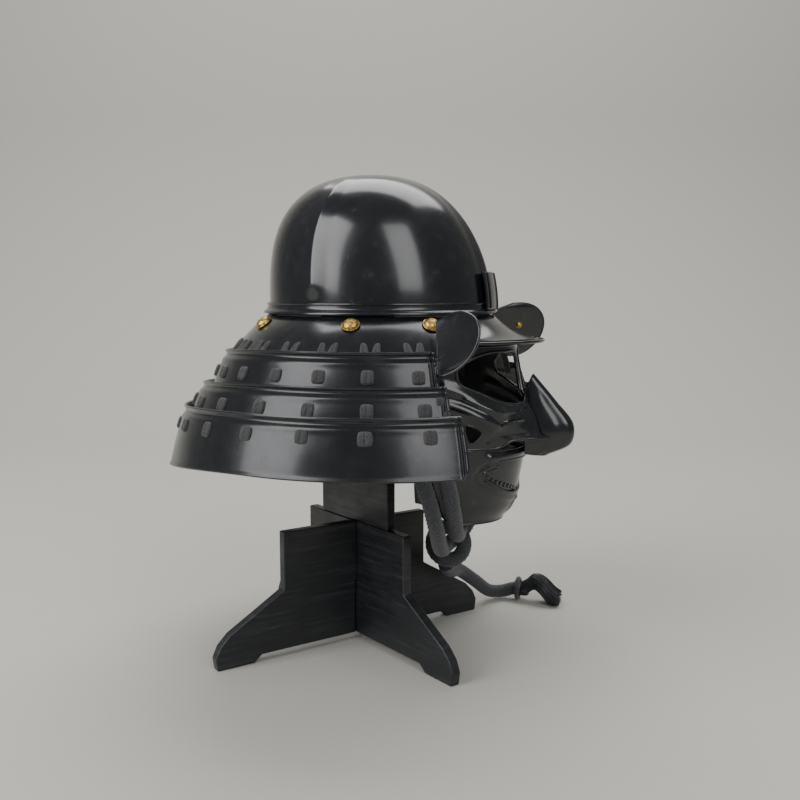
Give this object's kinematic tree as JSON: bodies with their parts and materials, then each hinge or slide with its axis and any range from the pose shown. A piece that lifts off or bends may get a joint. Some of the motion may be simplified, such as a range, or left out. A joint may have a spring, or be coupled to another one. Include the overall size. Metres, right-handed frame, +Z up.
{
  "type": "kabuto samurai helmet with face mask and chin cord on a crossed-plank stand",
  "caption": "Black lacquered ridged helmet with brass studs, laced flaring neck guard, hollow-nosed face mask and tasselled chin cord, resting on a slotted crossed-plank wooden stand.",
  "frame": {"origin": "on the surface under the stand, at the middle of the box of helmet, mask and stand", "axes": "+X is where the mask faces, +Y is the wearer's left, +Z is up"},
  "size_m": [0.4009, 0.4136, 0.47],
  "materials": {
    "black_lacquer": "glossy black lacquer over hammered iron, faint orange peel",
    "satin_lacquer": "satin black lacquer over iron plate",
    "brass": "speckled gilt brass with dark pits",
    "black_wood": "black painted wood, open grain, edges rubbed lighter",
    "braided_cord": "thick braided cord and flat knitted laces, dull with a faint blue sheen",
    "tassel_thread": "fine loose silk-like black threads"
  },
  "bodies": {
    "root": {"bowl": "black_lacquer", "rim_band": "black_lacquer", "crest_holder": "black_lacquer", "peak": "black_lacquer", "neck_guard_top_plate": "black_lacquer", "turn_back_leaf_left": "black_lacquer", "turn_back_leaf_right": "black_lacquer", "mask_face": "black_lacquer", "mask_jaw": "black_lacquer", "mask_mouth_plate": "black_lacquer", "mask_nose": "black_lacquer", "neck_guard_lame_upper": "satin_lacquer", "neck_guard_lame_middle": "satin_lacquer", "neck_guard_lame_lower": "satin_lacquer", "brass_stud_1": "brass", "brass_stud_2": "brass", "brass_stud_3": "brass", "brass_stud_4": "brass", "brass_stud_5": "brass", "brass_stud_6": "brass", "brass_stud_7": "brass", "leaf_pin_left": "brass", "leaf_pin_right": "brass", "stand_plank_a": "black_wood", "stand_plank_b": "black_wood", "stand_post": "black_wood", "chin_cord_upper": "braided_cord", "chin_cord_lower": "braided_cord", "chin_cord_wrap": "braided_cord", "chin_cord_tail": "braided_cord", "tassel_binding": "braided_cord", "tassel": "tassel_thread"}
  },
  "joints": []
}
